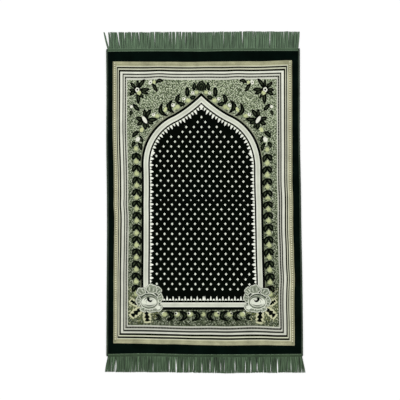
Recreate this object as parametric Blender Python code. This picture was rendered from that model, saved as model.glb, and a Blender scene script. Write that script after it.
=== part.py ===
"""A fringed prayer rug lying flat: one pile cloth and a heading tape with its fringe at each end.

Metres, +Z up.  +Y points to the arch end, +X to the right of someone facing it.  The origin is on
the floor under the middle of the rug, fringes included.
"""

import math
import random

import bmesh
import bpy
import numpy as np

# Cloth
NOMINAL_WIDTH = 0.700
CLOTH_TOP_Y = 0.5530
CLOTH_BOTTOM_Y = -0.5550
PILE_THICKNESS = 0.0040
HEM_THICKNESS = 0.0020
SIDE_THICKNESS = 0.0028
SIDE_BEVEL = 0.0054
CLOTH_COLUMNS = 26
CLOTH_ROWS = 18

# Heading tapes, which lap over the hems
TAPE_LAP = 0.0092
TAPE_REACH = 0.0030
TAPE_THICKNESS = 0.0012
FIT_GAP = 0.0003

# Fringes
OVERALL_LENGTH = 1.2320
OVERALL_WIDTH = 0.7272
STRANDS = 150
STRAND_FILL = 0.86
STRAND_HEIGHT = 0.0020
TIP_HEIGHT = 0.0011
TIP_WIDTH_SHARE = 0.78
CREST_SHARE = 0.72
TIP_TRIM = 0.0022
STRAND_BEND = 0.0002
STRAND_STEPS = 2
TAPE_SEGMENTS = 43
STRAND_SEED = 7
TOP_ROOTS = (-0.3490, 0.3375)
TOP_TIPS = (-OVERALL_WIDTH / 2, 0.3428)
BOTTOM_ROOTS = (-0.3480, 0.3508)
BOTTOM_TIPS = (-0.3586, OVERALL_WIDTH / 2)

# Finishes
CLOTH_COLOUR = (0.030, 0.045, 0.036)
TOP_YARN_COLOUR = (0.100, 0.160, 0.095)
BOTTOM_YARN_COLOUR = (0.070, 0.110, 0.065)
FABRIC_ROUGHNESS = 0.9

# How far each long edge lies outside the nominal width, in millimetres.
EDGE_COLUMNS = ("down_the_cloth", "left_out", "right_out")
EDGE_ROWS = (
    (0.00, 3.4, -7.6),
    (0.15, 2.2, -7.3),
    (0.30, 2.8, -7.2),
    (0.45, 1.0, -3.7),
    (0.57, 0.3, -2.2),
    (0.70, 1.0, 0.5),
    (0.85, 2.1, 2.8),
    (1.00, 2.8, 4.0),
)

# How far the cloth's ends lie above their mean lines, and how far the strands fall short, in
# millimetres.
END_COLUMNS = ("across_the_cloth", "top_rise", "bottom_rise", "top_short", "bottom_short")
END_ROWS = (
    (0.00, -2.0, 0.4, 2.6, 3.6),
    (0.20, -0.6, 2.9, 2.6, 3.6),
    (0.40, -0.9, 0.0, 2.0, 1.8),
    (0.50, -1.5, -0.7, 2.2, 1.2),
    (0.60, 0.2, -0.7, 1.0, 0.0),
    (0.80, 0.9, -0.2, 0.0, 1.4),
    (1.00, 0.9, 0.9, 0.4, 2.0),
)

# Where the tips part: place along the fringe, the gap's width at the tips, and how far the gap
# leans to the right by the tips, in millimetres.
PART_COLUMNS = ("along_the_fringe", "gap_at_tips", "lean")
TOP_PARTS = (
    (0.040, 1.6, -9.0),
    (0.113, 1.2, -5.0),
    (0.192, 1.6, -3.0),
    (0.223, 3.0, -2.0),
    (0.324, 3.0, -0.5),
    (0.356, 4.4, 0.0),
    (0.388, 3.2, 0.0),
    (0.441, 3.0, 0.0),
    (0.708, 3.6, 0.0),
    (0.735, 1.4, 0.5),
)
BOTTOM_PARTS = (
    (0.103, 1.4, -3.0),
    (0.232, 3.0, -0.8),
    (0.289, 2.8, 0.0),
    (0.387, 2.0, 0.6),
    (0.418, 2.8, -0.6),
    (0.552, 2.0, -0.6),
    (0.583, 2.8, 0.4),
    (0.655, 2.0, 0.6),
    (0.737, 3.8, 0.6),
    (0.876, 4.0, 0.6),
    (0.923, 2.6, 2.4),
)


def column(rows, names, name):
    """The numbers of one named column."""
    place = names.index(name)
    return [row[place] for row in rows]


def smooth(at, stations, values):
    """A value in metres on the smooth curve through a table's stations, whose values are in mm."""
    slopes = np.gradient(values, stations)
    spot = int(np.clip(np.searchsorted(stations, at) - 1, 0, len(stations) - 2))
    width = stations[spot + 1] - stations[spot]
    share = min(max((at - stations[spot]) / width, 0.0), 1.0)
    rest = 1 - share
    value = (values[spot] * (1 + 2 * share) * rest ** 2
             + values[spot + 1] * (1 + 2 * rest) * share ** 2
             + width * share * rest * (slopes[spot] * rest - slopes[spot + 1] * share))
    return float(value) / 1000


def edge_x(side, y):
    """X of a long edge, side -1 for the left and +1 for the right."""
    down = (CLOTH_TOP_Y - y) / (CLOTH_TOP_Y - CLOTH_BOTTOM_Y)
    name = "left_out" if side < 0 else "right_out"
    out = smooth(down, column(EDGE_ROWS, EDGE_COLUMNS, "down_the_cloth"),
                 column(EDGE_ROWS, EDGE_COLUMNS, name))
    return side * (NOMINAL_WIDTH / 2 + out)


def end_value(end, across, kind):
    """The rise or the shortness of an end, end +1 for the arch end and -1 for the other."""
    name = ("top_" if end > 0 else "bottom_") + kind
    return smooth(across, column(END_ROWS, END_COLUMNS, "across_the_cloth"),
                  column(END_ROWS, END_COLUMNS, name))


def end_y(end, across):
    """Y of the cloth's end."""
    return (CLOTH_TOP_Y if end > 0 else CLOTH_BOTTOM_Y) + end_value(end, across, "rise")


def across_at(end, x):
    """How far across the cloth a point near one of its ends lies, from 0 to 1."""
    y = CLOTH_TOP_Y if end > 0 else CLOTH_BOTTOM_Y
    left = edge_x(-1, y)
    return (x - left) / (edge_x(1, y) - left)


def material(name, colour):
    """A plain fabric finish."""
    finish = bpy.data.materials.new(name)
    finish.use_nodes = True
    shader = finish.node_tree.nodes["Principled BSDF"]
    shader.inputs["Base Color"].default_value = (*colour, 1.0)
    shader.inputs["Roughness"].default_value = FABRIC_ROUGHNESS
    shader.inputs["Metallic"].default_value = 0.0
    return finish


def finish_object(name, mesh_tool, finish):
    """Turn a built mesh into a named object with its faces pointing out."""
    bmesh.ops.recalc_face_normals(mesh_tool, faces=mesh_tool.faces)
    mesh = bpy.data.meshes.new(name)
    mesh_tool.to_mesh(mesh)
    mesh_tool.free()
    mesh.materials.append(finish)
    piece = bpy.data.objects.new(name, mesh)
    bpy.context.scene.collection.objects.link(piece)
    return piece


def bridge(mesh_tool, first, second):
    """Fill the band between two rows of as many vertices."""
    for a, b, c, d in zip(first, first[1:], second[1:], second):
        mesh_tool.faces.new((a, b, c, d))


def fan(mesh_tool, coarse, fine):
    """Fill the band between a coarse row and one that is finer by a whole factor."""
    factor = (len(fine) - 1) // (len(coarse) - 1)
    middle = factor // 2
    for place, (start, end) in enumerate(zip(coarse, coarse[1:])):
        run = fine[place * factor:(place + 1) * factor + 1]
        for step, (a, b) in enumerate(zip(run, run[1:])):
            mesh_tool.faces.new((start if step < middle else end, a, b))
        mesh_tool.faces.new((start, run[middle], end))


def cloth_point(across, down):
    """X and Y of a point of the cloth, given as shares of its width and of its length."""
    y = end_y(1, across) * (1 - down) + end_y(-1, across) * down
    return edge_x(-1, y) * (1 - across) + edge_x(1, y) * across, y


def cloth():
    """The pile cloth: full thickness between the hems, thin under the tapes and at the side edges."""
    length = CLOTH_TOP_Y - CLOTH_BOTTOM_Y
    hem = (TAPE_LAP + FIT_GAP) / length
    rows = [(0.0, HEM_THICKNESS), (hem, HEM_THICKNESS)]
    rows += [(float(down), PILE_THICKNESS) for down in np.linspace(hem, 1 - hem, CLOTH_ROWS + 1)]
    rows += [(1 - hem, HEM_THICKNESS), (1.0, HEM_THICKNESS)]
    bevel = SIDE_BEVEL / NOMINAL_WIDTH
    columns = [0.0, *np.linspace(bevel, 1 - bevel, CLOTH_COLUMNS + 1), 1.0]

    tool = bmesh.new()
    tops = []
    floors = []
    last_down = None
    for down, thickness in rows:
        spots = [cloth_point(across, down) for across in columns]
        heights = [thickness] * len(columns)
        heights[0] = heights[-1] = min(thickness, SIDE_THICKNESS)
        tops.append([tool.verts.new((x, y, height)) for (x, y), height in zip(spots, heights)])
        # The floor has no step, so the two rows of each hem's step share one row there.
        stepped = last_down is not None and math.isclose(down, last_down)
        floors.append(floors[-1] if stepped else [tool.verts.new((x, y, 0.0)) for x, y in spots])
        last_down = down

    for place in range(len(rows) - 1):
        upper, lower = floors[place], floors[place + 1]
        bridge(tool, tops[place], tops[place + 1])
        if upper is not lower:
            bridge(tool, lower, upper)
        for side in (0, -1):
            ring = (tops[place][side], tops[place + 1][side], lower[side], upper[side])
            tool.faces.new(list(dict.fromkeys(ring)))
    bridge(tool, floors[0], tops[0])
    bridge(tool, tops[-1], floors[-1])
    return finish_object("rug", tool, material("rug", CLOTH_COLOUR))


def tip_places(parts, roots, first_tip, last_tip):
    """X of the tips for the given roots: drawn into clumps, with the tips parted between them."""
    places = column(parts, PART_COLUMNS, "along_the_fringe")
    gaps = [gap / 1000 for gap in column(parts, PART_COLUMNS, "gap_at_tips")]
    leans = [lean / 1000 for lean in column(parts, PART_COLUMNS, "lean")]
    breaks = [roots[0] + (roots[-1] - roots[0]) * place for place in places]
    tips = []
    for root in roots:
        before = sum(root > edge for edge in breaks)
        lower, tip_lower = roots[0], first_tip
        upper, tip_upper = roots[-1], last_tip
        if before > 0:
            lower = breaks[before - 1]
            tip_lower = lower + leans[before - 1] + gaps[before - 1] / 2
        if before < len(breaks):
            upper = breaks[before]
            tip_upper = upper + leans[before] - gaps[before] / 2
        tips.append(tip_lower + (tip_upper - tip_lower) * (root - lower) / (upper - lower))
    return tips


def strand(mesh_tool, root_face, root_spot, tip_spot, width, bend):
    """A four-sided strand that lies on the floor from its root face to its tip."""
    previous = root_face
    for step in range(1, STRAND_STEPS + 1):
        share = step / STRAND_STEPS
        x = root_spot[0] + (tip_spot[0] - root_spot[0]) * share + bend * math.sin(math.pi * share)
        y = root_spot[1] + (tip_spot[1] - root_spot[1]) * share
        half = width / 2 * (1 - (1 - TIP_WIDTH_SHARE) * share)
        crest = half * CREST_SHARE
        height = STRAND_HEIGHT + (TIP_HEIGHT - STRAND_HEIGHT) * share
        corners = ((x - half, y, 0.0), (x + half, y, 0.0), (x + crest, y, height), (x - crest, y, height))
        ring = [mesh_tool.verts.new(corner) for corner in corners]
        bridge(mesh_tool, previous + previous[:1], ring + ring[:1])
        previous = ring
    mesh_tool.faces.new(previous)


def fringe(name, end, parts, roots_span, tips_span, colour):
    """A heading tape lapped over the cloth's end, with strands fused along its outer edge."""
    dice = random.Random(STRAND_SEED + end)
    first_root, last_root = roots_span
    pitch = (last_root - first_root) / STRANDS
    width = pitch * STRAND_FILL
    centres = [first_root + pitch * (place + 0.5) for place in range(STRANDS)]
    edges = [first_root]
    for centre in centres:
        edges += [centre - width / 2, centre + width / 2]
    edges.append(last_root)
    coarse_edges = edges[::(len(edges) - 1) // TAPE_SEGMENTS]

    tool = bmesh.new()

    def row(places, outwards, height):
        """A row of vertices along the tape, so far outwards from the cloth's end."""
        spots = [(x, end_y(end, across_at(end, x)) + end * outwards, height) for x in places]
        return [tool.verts.new(spot) for spot in spots]

    under = HEM_THICKNESS + FIT_GAP
    top = under + TAPE_THICKNESS
    outer_floor = row(edges, TAPE_REACH, 0.0)
    outer_middle = row(edges, TAPE_REACH, STRAND_HEIGHT)
    outer_top = row(edges, TAPE_REACH, top)
    inner_top = row(coarse_edges, -TAPE_LAP, top)
    inner_under = row(coarse_edges, -TAPE_LAP, under)
    corner_under = row(coarse_edges, FIT_GAP, under)
    corner_floor = row(coarse_edges, FIT_GAP, 0.0)

    bridge(tool, outer_middle, outer_top)
    fan(tool, inner_top, outer_top)
    bridge(tool, inner_top, inner_under)
    bridge(tool, inner_under, corner_under)
    bridge(tool, corner_under, corner_floor)
    fan(tool, corner_floor, outer_floor)
    for side in (0, -1):
        lap = (outer_top, inner_top, inner_under, corner_under, outer_middle)
        leg = (outer_middle, corner_under, corner_floor, outer_floor)
        tool.faces.new([line[side] for line in lap])
        tool.faces.new([line[side] for line in leg])

    reaches = []
    for centre in centres:
        short = end_value(end, across_at(end, centre), "short")
        reaches.append(-short - TIP_TRIM * dice.random() ** 2)
    longest = max(reaches)

    tip_half = width * TIP_WIDTH_SHARE / 2
    tips = tip_places(parts, centres, tips_span[0] + tip_half, tips_span[1] - tip_half)
    for place, (centre, tip, reach) in enumerate(zip(centres, tips, reaches)):
        before, left, right = 2 * place, 2 * place + 1, 2 * place + 2
        bridge(tool, outer_floor[before:right], outer_middle[before:right])
        root_face = [outer_floor[left], outer_floor[right], outer_middle[right], outer_middle[left]]
        root_spot = (centre, outer_floor[left].co.y)
        tip_spot = (tip, end * (OVERALL_LENGTH / 2 + reach - longest))
        bend = dice.uniform(-STRAND_BEND, STRAND_BEND)
        strand(tool, root_face, root_spot, tip_spot, width, bend)
    bridge(tool, outer_floor[-2:], outer_middle[-2:])
    return finish_object(name, tool, material(name, colour))


def remove_everything():
    """Empty the scene."""
    for piece in list(bpy.data.objects):
        bpy.data.objects.remove(piece)


remove_everything()
cloth()
fringe("fringe_top", 1, TOP_PARTS, TOP_ROOTS, TOP_TIPS, TOP_YARN_COLOUR)
fringe("fringe_bottom", -1, BOTTOM_PARTS, BOTTOM_ROOTS, BOTTOM_TIPS, BOTTOM_YARN_COLOUR)
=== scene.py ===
"""How the fringed prayer rug looks: its woven pattern, edges, heading tapes, fringes and stage.

Metres, +Z up, +Y to the arch end.  The pattern is charted in millimetres on the flat cloth:
`across` runs right from the pattern's centre line and `down` from the cloth's arch end.  Most of it
is charted for one half and mirrored.
"""
import math
import random

import bpy
import numpy as np
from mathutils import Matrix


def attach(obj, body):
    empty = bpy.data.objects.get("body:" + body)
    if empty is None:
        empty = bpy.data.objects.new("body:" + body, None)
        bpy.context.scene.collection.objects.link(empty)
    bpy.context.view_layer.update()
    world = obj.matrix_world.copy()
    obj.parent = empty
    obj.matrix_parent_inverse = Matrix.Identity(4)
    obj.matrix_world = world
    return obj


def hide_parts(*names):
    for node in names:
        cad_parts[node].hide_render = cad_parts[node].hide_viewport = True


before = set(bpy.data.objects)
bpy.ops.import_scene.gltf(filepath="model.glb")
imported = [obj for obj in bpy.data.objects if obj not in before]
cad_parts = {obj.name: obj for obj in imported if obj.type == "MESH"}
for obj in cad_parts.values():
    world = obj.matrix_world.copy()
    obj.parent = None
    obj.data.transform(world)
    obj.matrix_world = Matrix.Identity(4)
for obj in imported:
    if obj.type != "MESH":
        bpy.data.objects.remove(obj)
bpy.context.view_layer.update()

MM = 0.001
ARCH_END_Y = 553.0
CLOTH_WIDTH = 700.0
CLOTH_LENGTH = 1108.0
PILE_TOP = 4.0
HEM_TOP = 2.0
EDGE_TOP = 2.6
EDGE_ROUND = 5.4
# The middle of that rounding: its share of the way in, and how far below the pile it lies.
EDGE_BEND = (0.45, 0.35)
CLOTH_COLUMNS = 60
THINNEST = 1.2
TAPE_LAP = 9.2
# How far the step from hem to pile slopes, as a share of the length.
HEM_STEP = 0.0004
# Points of the cloth's outline beyond this |Y| belong to its ends.
NEAR_ENDS = 550.0
GRID_STEP = 6.0
SEED = 11

# The crease where the rug was folded in half.
CREASE_Y = 7.6
CREASE_SLOPE = -0.005
CREASE_DEPTH = 0.5
CREASE_WIDTH = 8.0
# Diamonds near this place down the chart are squeezed.
CREASE_DOWN = 547.0
CREASE_SQUEEZE = 0.29
CREASE_SQUEEZE_REACH = 9.0

# Light reaching the cloth: what a perfectly white thing would look like, 1 being paper white.
LIGHT_LEVEL = 1.10
SKY_SHARE = 0.68
SUN_TILT = (math.radians(24), math.radians(-14), 0.0)
SUN_SIZE = math.radians(50)

# How high each layer of the pattern stands above the pile, in millimetres.
LIFT = {
    "field": 0.06,
    "fleck": 0.15,
    "glow": 0.11,
    "halo": 0.20,
    "niche": 0.22,
    "stripe": 0.16,
    "bead": 0.24,
    "band": 0.30,
    "thread": 0.38,
    "petal": 0.24,
    "vein": 0.32,
    "bud": 0.28,
    "eye": 0.36,
    "rose": 0.42,
}
# Each shape of a layer lies this much higher than the last, and after so many the lift starts anew.
STACK_STEP = 0.0015
STACK_TURNS = 12

# How the woven pattern runs on this rug.  `down` is the chart's; the side lines are the X of the
# dark stripe's middle and the centre line's X in mm; spread and tilt are in thousandths.
COURSE_COLUMNS = ("down", "left_line", "right_line", "centre", "spread", "tilt", "shift")
COURSE = (
    (0, -304.8, 287.6, -11.9, 0, 0, 0),
    (167, -305, 288.2, -11.5, 0, 0, 0),
    (307, -305.2, 288.6, -10.6, 1, 0, 0),
    (371, -303.6, 288.9, -10.2, -4, 8, 0),
    (420, -302.1, 288.8, -9.5, -9, 12, 0),
    (495, -301.2, 289.4, -8.6, -11, 11, 0),
    (530, -301.1, 291, -8.2, -8, 9, -0.2),
    (565, -301.9, 291.6, -7.8, -3, 6, -3.4),
    (600, -299.8, 291.4, -7.4, -3, 0, -5),
    (670, -300, 292, -6.8, 1, 0, -4.4),
    (720, -300.6, 294.1, -6.4, 3, 0, -3.4),
    (780, -301.7, 295.4, -6, 9, 0, -2),
    (830, -302.2, 297.9, -5.2, 14, 7, -0.9),
    (870, -302.1, 296.5, -4.8, 14, 3, 0),
    (920, -302.4, 295.9, -4.2, 12, 0, 0),
    (990, -302.6, 297.2, -3.6, 10, 0, 0),
    (1108, -303.3, 297, -3.2, 10, 0, 0),
)
LEFT_LINE = -295.4
RIGHT_LINE = 299.6
FIELD_HALF = 268.0
SIDE_BLEND = 30.0

# How far the end stripes wave down the cloth, in millimetres, at their outer and inner lines.
WAVE_COLUMNS = ("across", "top_outer", "top_inner", "bottom_outer", "bottom_inner")
WAVES = (
    (-302, 0, -0.5, -4.7, -4.3),
    (-194, 0.7, -0.2, -2.6, -3.9),
    (-151, 1, -3, -1.4, -2.8),
    (-108, 1, -0.6, -1.4, -1),
    (-43, 1.7, -0.3, 0.9, 0.2),
    (22, 0.5, -0.9, 2.3, -0.6),
    (86, 0.1, -0.3, 3.3, 0.6),
    (130, -0.4, -2.8, 2.8, -0.7),
    (173, -0.6, -1.5, 2.4, -1.9),
    (216, -0.6, -2.4, 1.9, -0.6),
    (259, -2.5, -3.4, 2.8, 1.8),
    (302, -4.4, -4.4, 3.6, 1.6),
)
WAVE_REACH = 50.0
# In how many stretches each end and each side of a framing line is drawn.
FRAME_STEPS = (106, 168)

# The framing stripes from the outside in: each one's outer line, and the colour inside it.  The
# side lines are across the chart, and the end lines lie so far in from the cloth's ends.
STRIPE_COLUMNS = ("left", "right", "top", "bottom", "yarn")
STRIPES = (
    (-320, 326.2, 46.6, 43.4, "beige"),
    (-307.8, 312, 62.3, 59.8, "cream"),
    (-306, 308.8, 66, 62, "brown"),
    (-302.4, 304.8, 71.6, 68.8, "cream"),
    (-299.2, 302, 76.4, 72.8, "brown"),
    (-293.4, 296.8, 83.4, 80.2, "ivory"),
    (-285.2, 287.9, 90, 86.4, "slate"),
    (-281.4, 283.2, 95, 92.8, "pearl"),
    (-268.6, 271.2, 112.7, 108.9, None),
)
# The dashed line in the innermost stripe: its outer and inner edges, charted as the stripes are.
DASHED_LINES = ((-277.2, 280.6, 101.0, 97.6), (-272.4, 275.0, 106.2, 104.1))
DASH_PITCH = 5.4
DASH_SHARE = 0.88
# Darker ribs along the beige ends, so far in from the beige's outer line.
RIBS = ((0.0, 1.6), (4.4, 5.8), (9.4, 12.0))
RIB_POINTS = 110
BEAD_ACROSS = (-313.4, 319.0)
BEAD_PITCH = 8.1
BEAD_SIZE = (2.3, 2.7)
BEAD_MARGIN = 6.0
# How far the darker bed under the beads reaches outwards and inwards.
BEAD_BED = (5.2, 3.2)
BED_POINTS = 160

# The arched niche: the right half of its outline, from the tip to the shoulder's foot.
ARCH_CURVES = (
    ((0, 160.6), (25.2, 186.8), (68.4, 221.4), (104.4, 239.4)),
    ((104.4, 239.4), (163.8, 265.7), (216, 330.5), (218.6, 422.3)),
)
ARCH_SAMPLES = 48
NICHE_FOOT = 937.0
FOOT_POINTS = 30
# Lines inside the outline: how far in they lie along the arch and sides, and at the foot.
NICHE_LINES = {
    "outline": (-1.2, -3.0),
    "band_outer": (7.2, 7.2),
    "thread_outer": (10.8, 11.0),
    "thread_inner": (19.4, 19.6),
    "band_inner": (24.0, 23.8),
    "teeth_foot": (29.8, 31.0),
    "teeth_base": (32.0, 32.6),
}
# How far the niche's pale glow reaches outwards on its way down, over its tip and at its foot.
GLOW_COLUMNS = ("down", "reach")
GLOW = ((160, 4.0), (185, 8.0), (225, 14.0), (262, 12.0), (310, 7.0), (400, 4.0), (950, 4.0))
TIP_GLOW = 5.0
FOOT_GLOW = 4.0

# Pitch of the niche's teeth, and height and width of its tall and short ones.
ARCH_TEETH = (12.8, (17.0, 9.0), (11.5, 7.6))
# How far the teeth at the arch's tip turn downwards.
ARCH_TEETH_DROP = 0.45
# At the shoulder's foot the arch's teeth have shrunk to this share.
ARCH_TEETH_SHRUNK = 0.6
SIDE_TEETH = (11.95, (13.5, 10.4), (7.2, 9.0))
FOOT_TEETH = (10.7, (16.0, 6.4), (6.5, 9.4))
FOOT_TEETH_COUNT = 17
TIP_TOOTH = (13.0, 8.0)
# Where the first tooth stands, and how far above the arch's foot the side teeth begin.
TEETH_START = 6.0
SHOULDER_MARGIN = 25.0
# A tooth's half width, as a share of its width, so far up its height.
TOOTH_SHAPE = ((0.0, 0.5), (0.25, 0.5), (0.6, 0.34), (0.88, 0.16), (1.0, 0.0))

# The rows of small diamonds.
DIAMOND_ROWS = 36
FIRST_DIAMOND_ROW = 246.6
DIAMOND_ROW_PITCH = 17.68
DIAMOND_PITCH = 27.36
DIAMOND_NUMBERS = range(-8, 9)
DIAMOND_SIZE = (8.8, 10.2)
DIAMOND_SHAPE = ((1, 0), (0.42, 0.55), (0, 1), (-0.42, 0.55), (-1, 0), (-0.42, -0.55), (0, -1),
                 (0.42, -0.55))
# The room each needs inside the teeth: within the arch, down to here, and below it.
DIAMOND_ARCH_FOOT = 380.0
DIAMOND_ROOMS = (28.0, 17.0)

# A leaf's thinning towards its ends, the smaller the blunter, and its slit's share of its width.
LEAF_KINDS = {"leaf": (0.62, 0.27), "crescent": (0.45, 0.16)}
# A leaf is a crescent if it bends by more than this share of its width.
CRESCENT_BEND = 0.5
SLIT_SPAN = (0.28, 0.76)
# Leaves of the right half, and how far each bends outwards.
LEAVES = (
    # from_across, from_down, to_across, to_down, width, bend
    (51, 175.5, 49.8, 137.5, 17, 0),
    (43.5, 180, 19.5, 170.5, 15.5, 1.5),
    (87.2, 199, 78.5, 163.5, 16, -4),
    (86.5, 194, 57, 200, 17, 3),
    (104, 183.5, 99, 233, 18.5, 16.5),
    (141, 194, 120, 243.5, 17.5, 17),
    (165, 125, 135.5, 118, 14, -4),
    (177, 126, 157.5, 156, 13.5, 0),
    (247, 198.5, 223, 224, 15.5, 0),
    (248.5, 221, 258.5, 240, 12, 0),
    (224, 298, 249.5, 320, 16, 3),
    (221.5, 312.5, 212, 339.5, 12.5, 0),
    (238.5, 335.5, 252, 354.5, 14, 1),
    (229, 337.5, 217, 368.5, 14, -3),
    (27.5, 152.5, 22.5, 122, 13.5, 0),
)
# Flowers of the right half: each petal's angle from straight up, positive outwards, and its size.
CORNER_FLOWER = (
    # angle, length, width, bend
    (-2, 36.5, 10.5, 0),
    (-35, 47.5, 15, -1.5),
    (-87, 45.5, 14.5, 1.5),
    (-111, 42, 13.5, -1),
    (-146, 38, 11.5, 0),
    (-177, 51.5, 16, -2),
    (124, 35, 15, 1),
    (90, 32, 13.5, -1),
    (46, 37.5, 14, 1),
)
SHOULDER_FLOWER = (
    # angle, length, width, bend
    (0, 39, 13, 0),
    (-32, 44.5, 16, -1.5),
    (-86, 46.5, 17, 2),
    (-114, 35.5, 15, 0),
    (-151, 36, 10.5, 0),
    (-173, 37, 15, 1),
    (126, 33.5, 16, 0),
    (77, 33, 17, -1),
)
FLOWERS = (
    # across, down, petals, heart
    (230, 148.5, CORNER_FLOWER, "eye"),
    (204, 256, SHOULDER_FLOWER, "kernel"),
)
PETAL_START = 6.0
# Half width and half height of a flower's disc, of its heart and of the heart's eye.
FLOWER_DISC = (15.0, 14.0)
FLOWER_HEART = (7.5, 8.5)
FLOWER_EYE = (3.4, 3.4)
# The lime drop by an eyed heart: how far off, which way, and its size.
DROP = (13.0, -150.0, 7.5)
# A kernel heart, as a leaf is charted, from the flower's middle.
KERNEL = ((8.0, -13.0), (-8.0, 13.0), 12.5, 0.0)

# A lime bud wider than this has a smaller heart, a little higher, in a sage rim.
BIG_BUD = 15.0
BIG_BUD_HEART = 0.72
BIG_BUD_RISE = 0.8
BUD_EYE = (2.2, 2.2)
# Buds of the right half: pale or lime, their size, and where a dark eye lies in them.
BUDS = (
    # across, down, width, height, yarn, eye_across, eye_down
    (30.6, 160, 12, 11, "ivory", 0, -0.5),
    (17.3, 158.2, 16, 14.5, "lime", None, None),
    (63.1, 181, 13, 10, "ivory", 1.5, -1),
    (47.5, 187, 21, 16, "lime", None, None),
    (86, 210.5, 20, 17, "lime", None, None),
    (101.5, 203.5, 13, 13, "ivory", 2, -2.5),
    (129.5, 219, 10, 19, "lime", None, None),
    (96, 216, 9, 11, "lime", None, None),
    (172, 237.5, 13, 12, "ivory", 1, -2),
    (159, 242.5, 20, 13.5, "lime", None, None),
    (183.2, 122.5, 12, 17, "ivory", 0, 0.5),
    (169.7, 122.5, 11, 11, "lime", None, None),
    (252.4, 209, 11, 12, "ivory", -0.7, -8),
    (215, 292, 13, 18, "lime", None, None),
    (229.4, 326.5, 15, 19, "ivory", None, None),
    (236.6, 362, 17, 19, "lime", None, None),
)
# The side garlands: leaf pairs that grow from roots one under another, with buds between them.
GARLAND_ACROSS = 237.0
GARLAND_FIRST = 376.9
GARLAND_PITCH = 43.1
GARLAND_PAIRS = 12
# A pair's leaves and buds, charted from its root.  These pairs' big buds have eyes.
GARLAND_LEAVES = (
    # from, to, width, bend
    ((-3, 0.5), (14.5, 26), 18, 3.5),
    ((2, 0.5), (-13.5, 30.5), 17.5, -3.5),
)
GARLAND_BUDS = (
    # spot, width, height, eye
    ((0.5, 33), 21, 17.5, (-6, 38)),
    ((1.5, 24), 5, 7, None),
)
GARLAND_EYED = range(2, 9)
# The foot garland: crescents that open outwards, with buds in their mouths.
FOOT_CRESCENTS = (
    # across, down, size
    (150.5, 967, 0.62),
    (101, 961.5, 1),
    (54.8, 961.5, 1),
    (8.6, 961.5, 1),
)
# Such a crescent at full size: its ellipse's middle and half sizes, and its arcs, which lie so far in.
CRESCENT_MIDDLE = 24.5
CRESCENT_SIZE = (23.5, 18.5)
CRESCENT_ARCS = (
    # yarn, lift, reach, thickness, start, end
    ("leaf", "petal", 0, 17.3, 66, 302),
    ("vein", "vein", 7.5, 2.8, 130, 245),
)
# How far across the buds lie, and each one's parts, charted from there.  All but the first have eyes.
FOOT_BUDS = (138.5, 93.0, 47.0)
FOOT_BUDS_DOWN = 956.5
FOOT_BUD_BODIES = (
    # yarn, spot, width, height
    ("lime", (0.3, 0), 22.5, 19),
    ("ivory_bud", (4, -3.5), 11.5, 12),
)
FOOT_EYE_SPOT = (5.8, -3.5)
FOOT_EYE = (3.3, 4.1)
# The bud on the centre line: its width and height, and where its eye lies on the chart.
MIDDLE_BUD = (16.0, 18.0)
MIDDLE_BUD_EYE = (-5.0, 952.5)

# Serrated leaves round the rose.  Their halos reach out by a share of their length, and are wider.
SERRATED_LEAVES = (
    # from_across, from_down, to_across, to_down, width
    (235, 922, 257.5, 906, 15.5),
    (221, 933.5, 254.5, 963, 22),
    (203.5, 941, 199, 985, 22),
)
HALO_REACH = 0.14
HALO_WIDTH = 10.0
# The rose's middle, and its dark back, from there.
ROSE_PLACE = (191.0, 907.0)
ROSE_BACK = ((0.0, -3.0), (41.0, 36.0))
# Ruffled petals about the right rose's middle, each over the last by the rise.
RUFFLE_RISE = 0.07
RUFFLES = (
    # across, down, half_width, half_height, ruffles, turn
    (-5, 31.5, 22.5, 10.5, 5, 0),
    (21, 27.5, 13.5, 13.5, 4, 20),
    (38.5, 1, 10, 18.5, 4, 0),
    (-38, -10, 10, 17, 4, -8),
    (-31.5, 25, 14, 12.5, 3, -40),
    (29, -32, 17, 14.5, 5, 15),
    (-32.5, -36, 11.5, 14.5, 4, 10),
    (-8, -41, 19.5, 17.5, 5, 0),
)
# Strokes along each petal: how far aside each lies, as a share of the petal's reach.
ROSE_STROKES = (-0.72, -0.36, 0.0, 0.36, 0.72)
STROKE_WIDTH = 1.9
# What one petal is made of: its shade, its rim and its inside.
RUFFLE_LAYERS = (
    # yarn, grown, raised, depth
    ("rose_line", 1.3, -0.02, 0.09),
    ("rose_pale", 0, 0, 0.09),
    ("rose", -2.4, 0.03, 0.12),
)
# The bright lobe beside the rose's bowl, then the bowl.
ROSE_BOWL = (
    # yarn, spot, half sizes, raised, shape
    ("rose_pale", (-30.5, 24), (9, 7.5), 0, dict(ruffles=5, depth=0.14)),
    ("rose_pale", (1, 4.5), (33.5, 27.5), 0, dict(steps=34, ruffles=9, depth=0.03)),
    ("rose", (1, 4.5), (31, 25), 0.03, dict(steps=34, ruffles=9, depth=0.03)),
    ("rose_pale", (2, 6), (27.5, 19.5), 0.05, dict(steps=30)),
)
# Crescents in the rose's bowl: where each ellipse's middle lies, its half sizes, the angles the
# crescent runs between (clockwise from straight outwards, in degrees) and its thickness.
ROSE_ARCS = (
    # across, down, half_width, half_height, start, end, thickness, yarn
    (1, 2, 31.5, 28, 190, 350, 5, "rose_line"),
    (-2, -3, 27, 26, 200, 335, 4, "rose_pale"),
    (2, 6, 28, 20.5, 5, 175, 3, "rose_line"),
    (2, 5, 24, 17, 10, 170, 3, "rose"),
    (1, 6, 19, 12.5, 20, 150, 2.6, "rose_line"),
    (-3, 3, 23, 18, 215, 350, 3.6, "rose_line"),
    (-3, 3, 16, 11, 200, 400, 2.4, "rose"),
)
ROSE_HEART = ((9.0, -9.0), (3.5, -11.3), (-1.5, -10.0), (1.0, -5.8), (-1.0, -2.4), (-5.5, -1.4),
              (-10, -3.6), (-9.8, 1.8), (-4.6, 5.2), (1.2, 4.8), (6.5, 0.8), (8.6, -4))

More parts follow.
